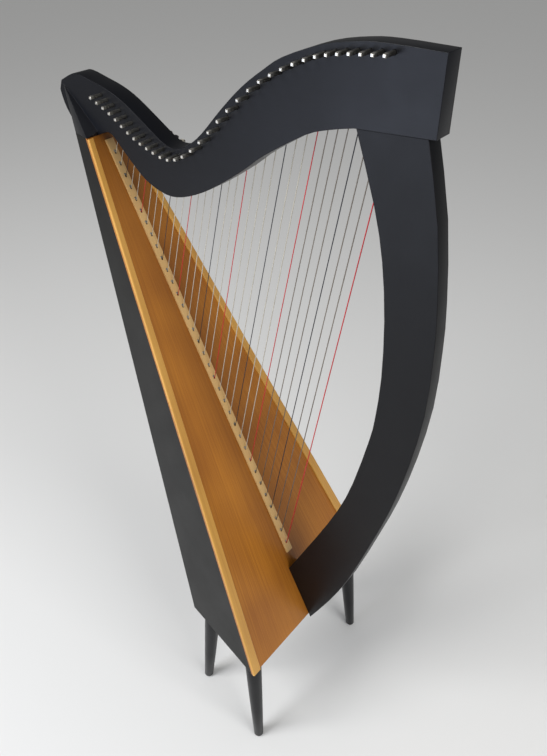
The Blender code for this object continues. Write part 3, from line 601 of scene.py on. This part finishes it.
def make_strings(name, numbers, material):
    """Strings of one colour as one mesh."""
    curve = bpy.data.curves.new(name, "CURVE")
    curve.dimensions = "3D"
    curve.bevel_depth = 1.0
    curve.bevel_resolution = 2
    curve.use_fill_caps = True
    for number in numbers:
        route = string_points(number)
        spline = curve.splines.new("POLY")
        spline.points.add(len(route) - 1)
        for point, place in zip(spline.points, route):
            point.co = (*place, 1)
            point.radius = string_radius(number)
    source = bpy.data.objects.new(name + "_route", curve)
    bpy.context.scene.collection.objects.link(source)
    bpy.context.view_layer.update()
    graph = bpy.context.evaluated_depsgraph_get()
    mesh = bpy.data.meshes.new_from_object(source.evaluated_get(graph))
    bpy.data.objects.remove(source, do_unlink=True)
    bm = bmesh.new()
    bm.from_mesh(mesh)
    bmesh.ops.remove_doubles(bm, verts=bm.verts[:], dist=0.000005)
    bmesh.ops.recalc_face_normals(bm, faces=bm.faces[:])
    bm.to_mesh(mesh)
    bm.free()
    mesh.shade_smooth()
    made = bpy.data.objects.new(name, mesh)
    bpy.context.scene.collection.objects.link(made)
    carry(made, material, "string_gut", "strings")
    return made


RED = (1, 8, 15, 22, 29)
BLACK = (4, 11, 18, 25, 32)
WOUND = (2, 3, 5, 6, 7)
PALE = [n for n in range(1, STRINGS + 1) if n not in RED + BLACK + WOUND]
red_finish = string_material("red_string", (0.38, 0.004, 0.012), (0.62, 0.02, 0.03), 0.3, 900.0)
make_strings("strings_red", RED, red_finish)
black_finish = string_material("black_string", (0.006, 0.006, 0.01), (0.03, 0.03, 0.04), 0.3, 900.0)
make_strings("strings_black", BLACK, black_finish)
wound_finish = string_material("wound_string", (0.12, 0.10, 0.08), (0.32, 0.28, 0.24), 0.3, 1400.0, 0.7)
make_strings("strings_wound", WOUND, wound_finish)
pale_finish = string_material("pale_string", (0.34, 0.31, 0.25), (0.56, 0.53, 0.45), 0.28, 700.0)
make_strings("strings_pale", PALE, pale_finish)


# Studio: a plain pale floor, a soft key light from the front left and a weak fill.
# The camera stands where the photograph was taken from.
floor_mesh = bpy.data.meshes.new("floor")
FLOOR = 12.0
corners = [(x * FLOOR, y * FLOOR, 0) for x, y in ((-1, -1), (1, -1), (1, 1), (-1, 1))]
floor_mesh.from_pydata(corners, [], [(0, 1, 2, 3)])
floor = bpy.data.objects.new("floor", floor_mesh)
bpy.context.scene.collection.objects.link(floor)
floor_material, floor_tree, floor_shader = principled("floor_paint")
floor_shader.inputs["Base Color"].default_value = (0.74, 0.74, 0.73, 1)
floor_shader.inputs["Roughness"].default_value = 0.9
floor.data.materials.append(floor_material)


def add_light(name, place, target, size, power):
    """A soft square light aimed at a point."""
    data = bpy.data.lights.new(name, "AREA")
    data.shape = "SQUARE"
    data.size = size
    data.energy = power
    thing = bpy.data.objects.new(name, data)
    thing.location = place
    thing.rotation_euler = (Vector(target) - Vector(place)).to_track_quat("-Z", "Y").to_euler()
    bpy.context.scene.collection.objects.link(thing)
    return thing


key = add_light("key_light", (-1.2, -2.4, 3.2), (0.0, 0.0, 0.8), 1.8, 105.0)
fill = add_light("fill_light", (2.6, -0.6, 2.4), (0.0, 0.0, 0.8), 1.6, 45.0)
sheen = add_light("sheen_light", (-0.75, -2.3, 0.75), (0.2, 0.0, 1.4), 1.2, 16.0)
sheen.data.color = (0.72, 0.80, 1.0)

world = bpy.data.worlds.new("studio")
bpy.context.scene.world = world
world.use_nodes = True
world_tree = world.node_tree
background = world_tree.nodes["Background"]
background.inputs["Color"].default_value = (1, 1, 1, 1)
rays = world_tree.nodes.new("ShaderNodeLightPath")
strength = node(world_tree, "ShaderNodeMapRange")
put(world_tree, strength.inputs["Value"], rays.outputs["Is Camera Ray"])
strength.inputs["To Min"].default_value = 0.40
strength.inputs["To Max"].default_value = 1.0
dimmer = node(world_tree, "ShaderNodeMapRange")
put(world_tree, dimmer.inputs["Value"], rays.outputs["Is Glossy Ray"])
dimmer.inputs["To Min"].default_value = 1.0
dimmer.inputs["To Max"].default_value = 0.35
brightness = calc(world_tree, "MULTIPLY", strength.outputs[0], dimmer.outputs[0])
put(world_tree, background.inputs["Strength"], brightness)

bpy.context.scene.view_settings.view_transform = "Standard"
camera_data = bpy.data.cameras.new("camera")
camera_data.sensor_fit = "VERTICAL"
camera_data.sensor_height = 36.0
camera_data.lens = 36.67
camera = bpy.data.objects.new("camera", camera_data)
camera.location = (BOARD_FOOT.x + 0.6073, -0.9331, 1.7035)
camera.rotation_euler = (math.radians(90 - 35.765), 0, math.radians(37.741))
bpy.context.scene.collection.objects.link(camera)
bpy.context.scene.camera = camera
